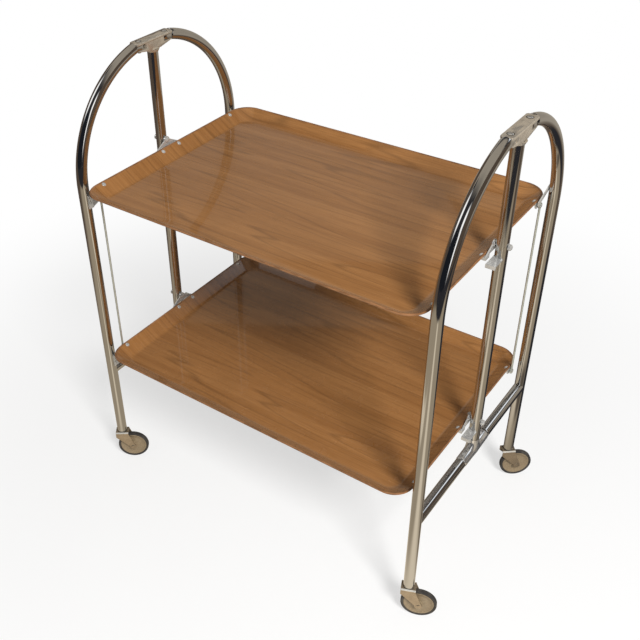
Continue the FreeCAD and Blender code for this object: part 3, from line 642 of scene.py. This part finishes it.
class TROLLEY_OT_castings(bpy.types.Operator):
    """Make the hinge castings at both ends of the posts"""

    bl_idname = "trolley.castings"
    bl_label = "Hinge castings"

    def execute(self, context):
        metal = context.scene.trolley_metal
        satin = dull_plate("hinge_casting_plate", metal.casting, (0.15, 0.24), 0.7, 110.0)
        bright = dull_plate("yoke_plate", metal.yoke, (0.07, 0.14), 0.9)
        # Painted shade for the rings round the top pins.
        pin_ring_shade = moulded("painted_recess_shade", metal.pin_ring_shade)
        slot = metal.lug_thickness / 2 + CLEARANCE
        for end in ENDS:
            top, low = f"{end}_top_bridge", f"{end}_bottom_yoke"
            x = middle(top).x
            bm = bmesh.new()
            self.bridge_plate(bm, metal, slot, Vector((x, 0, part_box(top)[1][2] - slot - metal.jaw)))
            finish_piece(f"{top}_plate", bm, (satin, pin_ring_shade), "frame", (top,))
            bm = bmesh.new()
            self.yoke(bm, metal, Vector((x, 0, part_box(low)[0][2] + slot + metal.jaw)))
            finish_piece(f"{low}_chrome", bm, (bright,), "frame", (low,), 60)
        dress(("top_hinge_pins",), bright)
        return {"FINISHED"}

    def bridge_plate(self, bm, metal, slot, hinge):
        """A plate with a raised panel and dark rings of painted recess shade round its pins, over a gusset
        slotted for the lugs.
        """
        reach = metal.hinge_offset + metal.casting_reach
        overhang, corner, rounding = 0.0005, 0.004, 0.0014
        outline = rounded_rectangle(metal.tube_radius + overhang, reach, corner, 4)
        plate_middle = hinge + UP * (slot + metal.jaw / 2)
        prism(bm, outline, Matrix.Translation(plate_middle), metal.jaw, rounding, 3)

        web = 0.002
        root, foot = metal.hinge_offset - metal.lug_width / 2 - web, metal.tube_radius + web
        tuck, lip = slot + 0.001, slot + 0.0015
        half = [(reach - 2.5 * web, tuck), (root, tuck), (root, -slot), (reach - web, -slot),
                (reach - 2 * web, -lip), (foot, -metal.casting_depth)]
        gusset = half + [(-y, z) for y, z in reversed(half)]
        prism(bm, gusset, axes(hinge, (0, 1, 0), UP), 2 * (metal.tube_radius - overhang), 0.0006)

        crown = hinge + UP * (slot + metal.jaw)
        width, length, raised, bevel = metal.tube_radius * 0.55, root - 0.003, 0.0007, 0.0003
        panel = [(x * width, y * length) for x, y in SQUARE]
        prism(bm, panel, Matrix.Translation(crown), raised, bevel)

        head = node_size("top_hinge_pins").x / 2 - abs(hinge.x)
        ring_in, ring_out, low, high = head - 0.0003, head + 0.0013, -0.0002, 0.0001
        recess = ((ring_in, low), (ring_out, low), (ring_out - 0.0002, high), (ring_in, high))
        # Each ring is painted shade: a dark band on the crown where a recess round the pin head would fall
        # into shade.
        for side in SIDES.values():
            pin = crown + Vector((0, side * metal.hinge_offset, 0))
            lathe(bm, recess, Matrix.Translation(pin), 32, 1)

        collar, seat = metal.tube_radius + 0.0008, -metal.casting_depth
        bore, end = collar - 0.001, seat - 0.004
        profile = ((bore, seat), (collar + 0.002, seat), (collar, end), (bore, end))
        lathe(bm, profile, Matrix.Translation(hinge))

    def yoke(self, bm, metal, hinge):
        """A smooth bar that flares up into the foot of the post."""
        reach = metal.hinge_offset + metal.casting_reach
        radius = metal.tube_radius
        bar = [(0, reach)]
        for turn in range(0, 91, 15):
            sine, cosine = math.sin(math.radians(turn)), math.cos(math.radians(turn))
            bar.append((radius * (0.6 + 0.47 * sine), reach * (0.9 + 0.1 * cosine)))
        bar += [(radius * 1.09, reach * 0.4), (radius * 1.14, 0)]
        bar += [(r, -along) for r, along in reversed(bar[:-1])]
        lathe(bm, bar, axes(hinge, UP, (1, 0, 0)))
        rise = metal.casting_depth * 2.2
        steps = 12
        rings = []
        for step in range(steps + 1):
            spread = (1 - step / steps) ** 2
            wide, long = radius * (1.02 + 0.16 * spread), radius * (1.02 + 2.0 * spread)
            centre = hinge + UP * (rise * step / steps)
            rings.append(tube_ring(bm, centre, Vector((wide, 0, 0)), Vector((0, long, 0))))
        bridge(bm, rings)


class TROLLEY_OT_fixings(bpy.types.Operator):
    """Finish the brackets, pins, bolts and rivets"""

    bl_idname = "trolley.fixings"
    bl_label = "Fixings"

    def execute(self, context):
        metal = context.scene.trolley_metal
        sheet = dull_plate("bracket_plate", metal.plate)
        bright = dull_plate("fixing_plate", metal.plate, (0.1, 0.2))
        dress(("tray_rests", "corner_keeper", "post_catches"), sheet)
        for tray in TRAYS:
            dress((f"{tray}_corner_tabs", *(f"{tray}_{end}_pivot_bracket" for end in ENDS)), sheet)
        dress(("bottom_hinge_pins", "tray_pivot_bolts", "tray_pivot_nuts", "tray_pivot_washers",
               "upper_tray_rivets", "lower_tray_rivets"), bright)
        return {"FINISHED"}


class TROLLEY_OT_rods(bpy.types.Operator):
    """Finish the link rods"""

    bl_idname = "trolley.rods"
    bl_label = "Link rods"

    def execute(self, context):
        wire = dull_plate("rod_plate", context.scene.trolley_metal.rod)
        dress([f"{end}_link_rod" for end in ENDS], wire)
        return {"FINISHED"}


class TROLLEY_OT_castors(bpy.types.Operator):
    """Make the castors and the collars above them"""

    bl_idname = "trolley.castors"
    bl_label = "Castors"

    def execute(self, context):
        castor = context.scene.trolley_castor
        metal = dull_plate("castor_plate", castor.metal, (0.06, 0.13), 0.75)
        # Painted highlight for the folds of the forks.
        fold_highlight = dull_plate("castor_fold_plate", castor.fold_highlight, (0.12, 0.2), 0.5)
        disc = moulded("castor_enamel", castor.disc, (0.28, 0.42), (0.24, 0.19, 0.12), 0.5)
        rubber = moulded("castor_rubber", castor.tyre, (0.5, 0.75), (0.13, 0.115, 0.095), 0.4)
        black = moulded("socket_moulding", castor.bush)
        collars = bmesh.new()
        for name in [f"{end}_{side}_castor" for end in ENDS for side in SIDES]:
            stem, hub = middle(f"{name}_stem"), middle(f"{name}_wheel")
            trail = Vector((hub.x - stem.x, hub.y - stem.y, 0))
            dress((f"{name}_stem",), metal)
            self.fork(castor, name, Vector((stem.x, stem.y, 0)), trail, hub.z, (metal, fold_highlight))
            self.wheel(name, axes(hub, trail, UP), disc, rubber)
            self.collar(castor, context.scene.trolley_metal, collars, stem)
        finish_piece("leg_collars", collars, (black,), "frame", ("leg_sockets",))
        return {"FINISHED"}

    def fork(self, castor, name, foot, trail, axle_height, metals):
        """A top plate with a painted highlight along its folds, two cheeks that taper to the axle, and axle
        heads.
        """
        node = f"{name}_fork"
        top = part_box(node)[1][2]
        half_plate, half_width = castor.fork_plate / 2, castor.fork_width / 2
        fold, sheet = castor.fork_fold, castor.fork_sheet
        spin = trail.cross(UP).normalized()
        skirt = top - half_plate
        right, left = (half_width - fold, top - fold), (fold - half_width, top - fold)
        section = arc_points(right, fold, 0, 90) + arc_points(left, fold, 90, 180)
        section += [(-half_width, skirt), (sheet - half_width, skirt)]
        section += arc_points(left, fold - sheet, 180, 90) + arc_points(right, fold - sheet, 90, 0)
        section += [(half_width - sheet, skirt), (half_width, skirt)]
        bm = bmesh.new()
        prism(bm, section, axes(foot, spin, UP), castor.fork_plate, 0.0003, 1)

        eye, bevel = 0.006, 0.0004
        edge = half_plate - bevel
        cheek = [(-edge, top - fold), (edge, top - fold)]
        cheek += arc_points((trail.length, axle_height), eye, 30, -190, 16)
        cheek += [(-edge, skirt)]
        head = [(0, 0.0016), (0.003, 0.0012), (0.0047, 0.0), (0.0047, -0.001), (0, -0.001)]
        for side in SIDES.values():
            place = axes(foot + spin * side * (half_width - sheet / 2), trail, UP)
            prism(bm, cheek, place, sheet - CLEARANCE, bevel)
            axle = foot + trail + UP * axle_height + spin * side * half_width
            lathe(bm, head, axes(axle, trail, (0, 0, side)), 24)

        bm.normal_update()
        # Faces of the folds that lean up and out get the painted highlight, material 1.
        slant = 0.3
        for face in bm.faces:
            leans = abs(face.normal.dot(spin)) > slant and face.normal.z > slant
            if leans and face.calc_center_median().z > top - fold:
                face.material_index = 1
        finish_piece(f"{node}_plated", bm, metals, name, (node, f"{name}_axle"))

    def wheel(self, name, place, disc, rubber):
        """A dished disc with a rolled rim, and a thin tyre round it."""
        body = name.replace("castor", "wheel")
        radius = node_size(f"{name}_wheel").z / 2
        half = [(0.0032, 0.0064), (0.0066, 0.0062), (0.0074, 0.0052), (0.0078, 0.0032),
                (radius * 0.62, 0.0017), (radius * 0.78, 0.0015), (radius * 0.86, 0.0024),
                (radius * 0.92, 0.0036), (radius * 0.97, 0.0038), (radius, 0.0031)]
        bm = bmesh.new()
        lathe(bm, half + [(r, -along) for r, along in reversed(half)], place)
        finish_piece(f"{name}_disc", bm, (disc,), body, (f"{name}_wheel",), 45)
        tread = node_size(f"{name}_tyre").z / 2
        half_width, bulge = 0.0044, 0.0021
        seat, seat_half = radius + 0.00002, half_width - 0.0012
        section = [(seat, -seat_half)]
        section += arc_points((tread - bulge, -half_width + bulge), bulge, 270, 360, 6)
        section += arc_points((tread - bulge, half_width - bulge), bulge, 0, 90, 6)
        section += [(seat, seat_half)]
        bm = bmesh.new()
        lathe(bm, section, place, 72)
        finish_piece(f"{name}_rubber", bm, (rubber,), body, (f"{name}_tyre",), 50)

    def collar(self, castor, metal, bm, stem):
        """A dark bush that shows between a leg and its castor."""
        low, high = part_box("leg_sockets")
        shoulder = low[2] + castor.collar + CLEARANCE
        sleeve = metal.tube_radius - metal.tube_wall - CLEARANCE
        lip, bore = metal.tube_radius - 0.0008, 0.0042
        profile = ((bore, low[2]), (lip, low[2]), (lip, shoulder),
                   (sleeve, shoulder), (sleeve, high[2]), (bore, high[2]))
        lathe(bm, profile, Matrix.Translation((stem.x, stem.y, 0)), 40)


def area_lamp(name, place, target, size, power):
    """A round lamp that no plating mirrors."""
    lamp = bpy.data.lights.new(name, "AREA")
    lamp.shape = "DISK"
    lamp.size = size
    lamp.energy = power
    item = bpy.data.objects.new(name, lamp)
    item.location = place
    item.rotation_euler = (Vector(target) - Vector(place)).to_track_quat("-Z", "Y").to_euler()
    item.visible_glossy = False
    bpy.context.scene.collection.objects.link(item)


def card(name, place, target, width, height, material, seen_by_camera=False):
    """A flat board of the studio, facing its target."""
    mesh = bpy.data.meshes.new(name)
    corners = [(x * width / 2, y * height / 2, 0) for x, y in SQUARE]
    mesh.from_pydata(corners, [], [(0, 1, 2, 3)])
    mesh.materials.append(material)
    board = bpy.data.objects.new(name, mesh)
    board.location = place
    board.rotation_euler = (Vector(target) - Vector(place)).to_track_quat("Z", "Y").to_euler()
    bpy.context.scene.collection.objects.link(board)
    if not seen_by_camera:
        board.visible_camera = False
        board.visible_diffuse = False
        board.visible_shadow = False
    return board


def board_paint(name, colour):
    """A lit board with a faint roller texture."""
    finish = Finish(name)
    cloud = finish.span(finish.cloud(1.2, detail=2.0), 0.3, 0.7, 0.0, 1.0)
    return finish.glow(finish.mix(cloud, colour, [tone * 0.85 for tone in colour]))


def lit_paint(name, colour, rim, width, height):
    """A lit board that is brightest in its middle and fades to another colour at its rim."""
    finish = Finish(name)
    away = finish.length(finish.place((2 / width, 2 / height, 0.0)))
    return finish.glow(finish.mix(finish.span(away, 0.35, 0.95, 0.0, 1.0), colour, rim))


def ground_paint(stage):
    """A board under the trolley: sand before the legs, dark beyond, stone far behind."""
    finish = Finish("ground_board")
    spot = finish.spot()

    def patch(centre, turn, size):
        """A turned and stretched patch of the ground."""
        return finish.add("ShaderNodeMapping", {
            "Vector": spot, "Location": centre, "Rotation": (0, 0, turn), "Scale": size},
            vector_type="TEXTURE").outputs[0]

    before_leg = patch((0.04, 0.03, 0), stage.camera_turn[2], (0.16, 0.95, 1.0))
    right_streak = finish.length(before_leg)
    left_streak = finish.length(patch((-0.61, 0.09, 0), math.radians(45), (0.08, 0.4, 1.0)))
    shadow = finish.length(patch((0.17, 0.98, 0), 0, (0.4, 0.4, 1.0)))
    beside = finish.length(patch((-0.05, 0.57, 0), math.radians(42), (0.2, 0.09, 1.0)))
    away, behind, before = finish.length(spot), finish.along_y(spot), finish.along_y(before_leg)
    ground = finish.mix(finish.span(right_streak, 0.35, 1.3, 0.0, 1.0), stage.sand, stage.tan)
    dark = finish.span(beside, 0.6, 1.3, 0.8, 0.0)
    for value, low, high in ((behind, 0.66, 0.82), (away, 1.0, 1.7)):
        dark = finish.math("MAXIMUM", dark, finish.span(value, low, high, 0.0, 1.0))
    shade = finish.mix(finish.span(shadow, 0.8, 1.5, 0.0, 1.0), stage.slate, stage.umber)
    shade = finish.mix(finish.span(behind, 1.3, 2.3, 0.0, 1.0), shade, stage.stone)
    ground = finish.mix(dark, ground, shade)
    ground = finish.mix(finish.span(before, -0.38, -0.6, 0.0, 1.0), ground, stage.slate)
    return finish.glow(finish.mix(finish.span(left_streak, 0.4, 1.2, 0.0, 1.0), stage.sand, ground))


def ceiling_paint(stage):
    """A board overhead: slate over the front of the trolley, stone over its back."""
    finish = Finish("ceiling_board")
    back = finish.along_y(finish.spot())
    near, far = finish.span(back, -2.2, 0.2, 0.0, 1.0), finish.span(back, 2.2, 3.2, 1.0, 0.0)
    return finish.glow(finish.mix(finish.math("MULTIPLY", near, far), stage.slate, stage.stone))


def floor_paint(stage):
    """Pale floor that keeps a soft shadow and goes over to plain white away from the trolley."""
    finish = Finish("floor_paint", roughness=0.9)
    finish.material.cycles.emission_sampling = "NONE"
    cloud = finish.cloud(1.2, detail=2.0)
    finish.shade(base_color=finish.mix(cloud, stage.floor, [tone * 0.98 for tone in stage.floor]))
    away = finish.length(finish.spot())
    path = finish.add("ShaderNodeLightPath", {}).outputs
    seen = finish.math("MAXIMUM", path["Is Camera Ray"], path["Is Glossy Ray"])
    seen = finish.math("MAXIMUM", seen, path["Is Transmission Ray"])
    share = finish.math("MULTIPLY", seen, finish.span(away, 0.35, 1.3, stage.glow, 1.0))
    white = finish.add("ShaderNodeEmission", {}).outputs[0]
    blend = finish.add("ShaderNodeMixShader", {0: share, 1: finish.surface.outputs[0], 2: white})
    return finish.surface_from(blend.outputs[0])


class TROLLEY_OT_stage(bpy.types.Operator):
    """Set up the floor, lamps and camera"""

    bl_idname = "trolley.stage"
    bl_label = "Stage"

    def execute(self, context):
        scene = context.scene
        stage = scene.trolley_stage
        scene.view_settings.view_transform = "Standard"
        self.sky(scene, stage)
        card("studio_floor", (0, 0, 0), (0, 0, 1), 30, 30, floor_paint(stage), True)
        centre, hall, wall = (0, 0, 0.5), 10, 4.6
        stone, umber, slate = (
            board_paint(f"{name}_board", getattr(stage, name)) for name in ("stone", "umber", "slate"))
        dark = board_paint("dark_board", (0.016, 0.018, 0.024))
        ground = card("ground_board", (0.55, -0.56, 0.002), (0.55, -0.56, 1), 16, 16, ground_paint(stage))
        ceiling = card("ceiling_board", (0, 0, 4.4), (0, 0, 5), hall, hall, ceiling_paint(stage))
        for board in (ground, ceiling):
            board.rotation_euler = (0, 0, 0)
        for name, place, height, paint in (
                ("board_at_back", (0, wall, 1.6), 3.2, stone),
                ("board_at_left", (-wall, 0, 2.2), 4.4, umber),
                ("board_at_right", (wall, 0, 2.2), 4.4, umber),
                ("board_behind_camera", (0, -wall, 2.2), 4.4, dark),
                ("board_above_back", (0, wall, 3.8), 1.2, slate)):
            card(name, place, (0, 0, place[2]), hall, height, paint)
        white, cool, haze = (1.6, 1.6, 1.6), (1.3, 1.36, 1.45), (0.32, 0.32, 0.31)
        for name, place, width, height, colour, rim in (
                ("strip_at_left", (-1.9, -1.4, 2.6), 2.0, 2.8, white, stage.slate),
                ("strip_at_right", (1.7, -1.7, 2.5), 1.7, 1.7, white, stage.slate),
                ("strip_before", (2.1, -2.0, 1.7), 1.1, 3.6, white, stage.slate),
                ("strip_at_back", (1.7, 3.2, 3.3), 2.8, 1.6, cool, stage.slate),
                ("haze_at_back", (-2.6, 4.3, 2.95), 5.6, 1.6, haze, stage.stone)):
            card(name, place, centre, width, height, lit_paint(name, colour, rim, width, height))
        area_lamp("key_lamp", (2.05, -1.4, 2.5), centre, 0.9, stage.key_power)
        area_lamp("fill_lamp", (-0.6, -2.6, 1.2), centre, 1.2, stage.fill_power)
        camera = bpy.data.objects.new("photo_camera", bpy.data.cameras.new("photo_camera"))
        camera.location = stage.camera_place
        camera.rotation_euler = Euler(stage.camera_turn)
        camera.data.lens = stage.lens
        camera.data.sensor_width = 36
        camera.data.shift_x, camera.data.shift_y = stage.shift
        camera.data.clip_end = 100
        scene.collection.objects.link(camera)
        scene.camera = camera
        return {"FINISHED"}

    def sky(self, scene, stage):
        """Even light all round, white where the camera or a reflection looks straight at it."""
        world = bpy.data.worlds.new("studio_sky")
        scene.world = world
        world.use_nodes = True
        nodes, links = world.node_tree.nodes, world.node_tree.links
        even = nodes["Background"]
        even.inputs["Color"].default_value = (1.0, 0.99, 0.97, 1.0)
        even.inputs["Strength"].default_value = stage.ambient
        white = nodes.new("ShaderNodeBackground")
        white.inputs["Color"].default_value = (1.0, 1.0, 1.0, 1.0)
        path = nodes.new("ShaderNodeLightPath")
        seen = path.outputs["Is Camera Ray"]
        for ray in ("Is Glossy Ray", "Is Transmission Ray"):
            either = nodes.new("ShaderNodeMath")
            either.operation = "MAXIMUM"
            links.new(seen, either.inputs[0])
            links.new(path.outputs[ray], either.inputs[1])
            seen = either.outputs[0]
        choice = nodes.new("ShaderNodeMixShader")
        links.new(seen, choice.inputs[0])
        links.new(even.outputs[0], choice.inputs[1])
        links.new(white.outputs[0], choice.inputs[2])
        links.new(choice.outputs[0], nodes["World Output"].inputs["Surface"])


class TROLLEY_PT_panel(bpy.types.Panel):
    """Settings and makers of the trolley"""

    bl_idname = "TROLLEY_PT_panel"
    bl_label = "Tea Trolley"
    bl_space_type = "VIEW_3D"
    bl_region_type = "UI"
    bl_category = "Trolley"

    def draw(self, context):
        for group in SETTINGS:
            box = self.layout.box()
            settings = getattr(context.scene, group)
            for name in settings.__annotations__:
                box.prop(settings, name)
        for operator in OPERATORS:
            self.layout.operator(operator.bl_idname)


SETTINGS = {
    "trolley_tray": TraySettings,
    "trolley_metal": MetalSettings,
    "trolley_castor": CastorSettings,
    "trolley_stage": StageSettings,
}
OPERATORS = (
    TROLLEY_OT_trays,
    TROLLEY_OT_end_frames,
    TROLLEY_OT_castings,
    TROLLEY_OT_fixings,
    TROLLEY_OT_rods,
    TROLLEY_OT_castors,
    TROLLEY_OT_stage,
)


def register():
    for group, settings in SETTINGS.items():
        bpy.utils.register_class(settings)
        setattr(bpy.types.Scene, group, bpy.props.PointerProperty(type=settings))
    for item in (*OPERATORS, TROLLEY_PT_panel):
        bpy.utils.register_class(item)


def unregister():
    for item in (TROLLEY_PT_panel, *reversed(OPERATORS)):
        bpy.utils.unregister_class(item)
    for group, settings in SETTINGS.items():
        delattr(bpy.types.Scene, group)
        bpy.utils.unregister_class(settings)


def main():
    register()
    bpy.ops.trolley.trays()
    bpy.ops.trolley.end_frames()
    bpy.ops.trolley.castings()
    bpy.ops.trolley.fixings()
    bpy.ops.trolley.rods()
    bpy.ops.trolley.castors()
    bpy.ops.trolley.stage()


if __name__ == "__main__":
    main()
